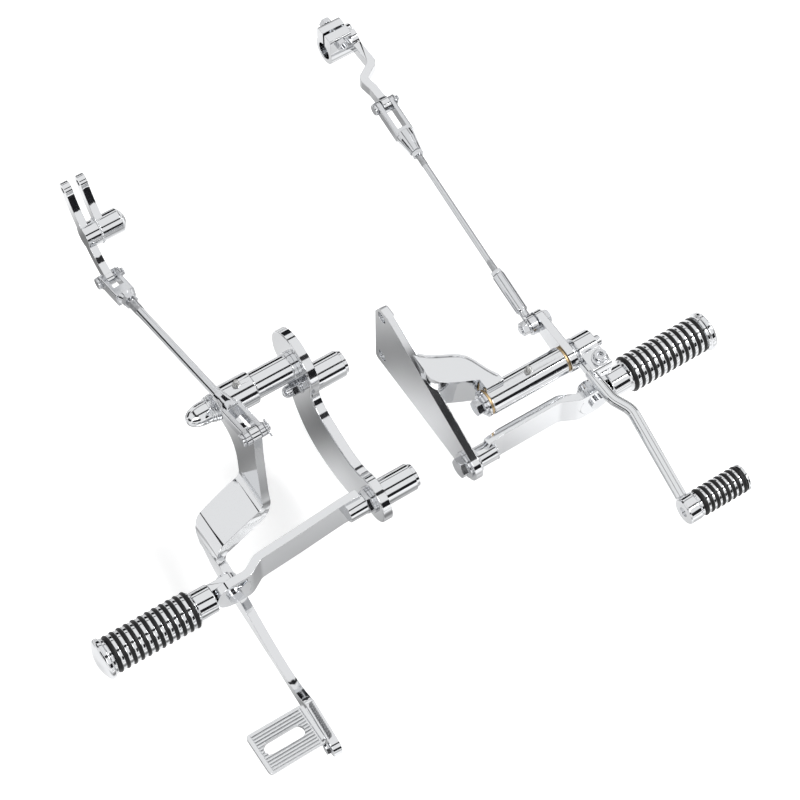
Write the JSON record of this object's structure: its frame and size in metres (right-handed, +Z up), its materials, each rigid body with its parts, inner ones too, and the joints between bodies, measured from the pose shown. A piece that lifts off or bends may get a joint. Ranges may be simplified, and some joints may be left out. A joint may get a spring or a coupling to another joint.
{
  "type": "motorcycle forward controls",
  "caption": "Motorcycle forward controls with a shift side and a brake side: frame plates, folding ringed foot pegs, toe lever, brake pedal and their rods with forks.",
  "frame": {"origin": "middle of the two frame holes, on the inboard face of the shift side plate", "axes": "+X forward on the machine, +Y to the rider's left, +Z up"},
  "size_m": [0.6475, 0.6945, 0.1802],
  "materials": {
    "plate": "polished chrome plate",
    "bright": "bright plated fasteners and rods",
    "bronze": "sintered bearing bronze",
    "zinc": "zinc plated",
    "ring_rubber": "matte black rubber"
  },
  "bodies": {
    "frame_side": {"shift_side_plate": "plate", "shift_pivot_tube": "plate", "shift_pivot_bushes": "bronze", "shift_grease_fitting": "zinc", "left_peg_bar": "plate", "left_peg_bolt": "bright", "left_peg_pin": "bright", "brake_side_plate": "plate", "frame_spacers": "plate", "spacer_cap_bolt": "bright", "brake_pivot_tube": "plate", "brake_pivot_shaft": "bright", "brake_pivot_washer": "bright", "brake_acorn_nut": "bright", "right_peg_bar": "plate", "right_peg_bolt": "bright", "right_peg_pin": "bright"},
    "shift_lever": {"shift_shaft": "bright", "shift_shaft_washers": "bright", "shift_shaft_bolt": "bright", "shift_crank": "plate", "crank_bolt": "bright", "rod_end_ball": "bright", "toe_shift_lever": "plate", "toe_lever_pinch_bolt": "bright", "toe_peg": "plate", "toe_peg_rings": "ring_rubber"},
    "shift_linkage": {"rod_end": "bright", "shift_rod": "bright", "shift_rod_nuts": "bright", "shift_clevis": "bright", "shift_clevis_pin": "bright"},
    "gear_lever": {"transmission_lever": "plate", "transmission_lever_bolt": "bright"},
    "left_peg": {"left_foot_peg": "plate", "left_peg_rings": "ring_rubber", "left_peg_cap": "plate"},
    "pedal": {"brake_pedal": "plate", "brake_grease_fitting": "zinc", "brake_pad": "plate", "brake_lever_bolt": "bright"},
    "brake_linkage": {"brake_rod": "bright", "brake_front_clevis": "bright", "brake_rear_clevis": "bright", "brake_rod_nut": "bright", "brake_rod_pins": "bright"},
    "cross_lever": {"brake_cross_lever": "plate"},
    "right_peg": {"right_foot_peg": "plate", "right_peg_rings": "ring_rubber", "right_peg_cap": "plate"}
  },
  "joints": [
    {"name": "shift_turn", "type": "hinge", "parent": "frame_side", "child": "shift_lever", "pos_m": [0.1226, 0.15, 0.01], "axis": [0, 1, 0], "range_deg": [-8, 8]},
    {"name": "shift_rod_swing", "type": "hinge", "parent": "shift_lever", "child": "shift_linkage", "pos_m": [0.075, 0.1255, 0.0145], "axis": [0, 1, 0], "range_deg": [-10, 10]},
    {"name": "gear_lever_swing", "type": "hinge", "parent": "shift_linkage", "child": "gear_lever", "pos_m": [-0.204, 0.135, 0.052], "axis": [0, 1, 0], "range_deg": [-2, 2]},
    {"name": "left_peg_fold", "type": "hinge", "parent": "frame_side", "child": "left_peg", "pos_m": [0.1515, 0.1465, -0.03], "axis": [1, 0, 0], "range_deg": [0, 18]},
    {"name": "pedal_press", "type": "hinge", "parent": "frame_side", "child": "pedal", "pos_m": [-0.004, -0.16, 0.03], "axis": [0, 1, 0], "range_deg": [0, 7]},
    {"name": "brake_rod_swing", "type": "hinge", "parent": "pedal", "child": "brake_linkage", "pos_m": [0.0638, -0.181, 0.0714], "axis": [0, 1, 0], "range_deg": [-6, 1]},
    {"name": "cross_lever_swing", "type": "hinge", "parent": "brake_linkage", "child": "cross_lever", "pos_m": [-0.2, -0.192, 0.008], "axis": [0, 1, 0], "range_deg": [-14, 1]},
    {"name": "right_peg_fold", "type": "hinge", "parent": "frame_side", "child": "right_peg", "pos_m": [0.141, -0.26, -0.03], "axis": [-1, 0, 0], "range_deg": [0, 78]}
  ],
  "couplings": [
    {"joint": "shift_rod_swing", "follows": "shift_turn", "ratio": -1.12},
    {"joint": "gear_lever_swing", "follows": "shift_turn", "ratio": -0.0335},
    {"joint": "brake_rod_swing", "follows": "pedal_press", "ratio": -0.633},
    {"joint": "cross_lever_swing", "follows": "pedal_press", "ratio": -1.0923}
  ]
}
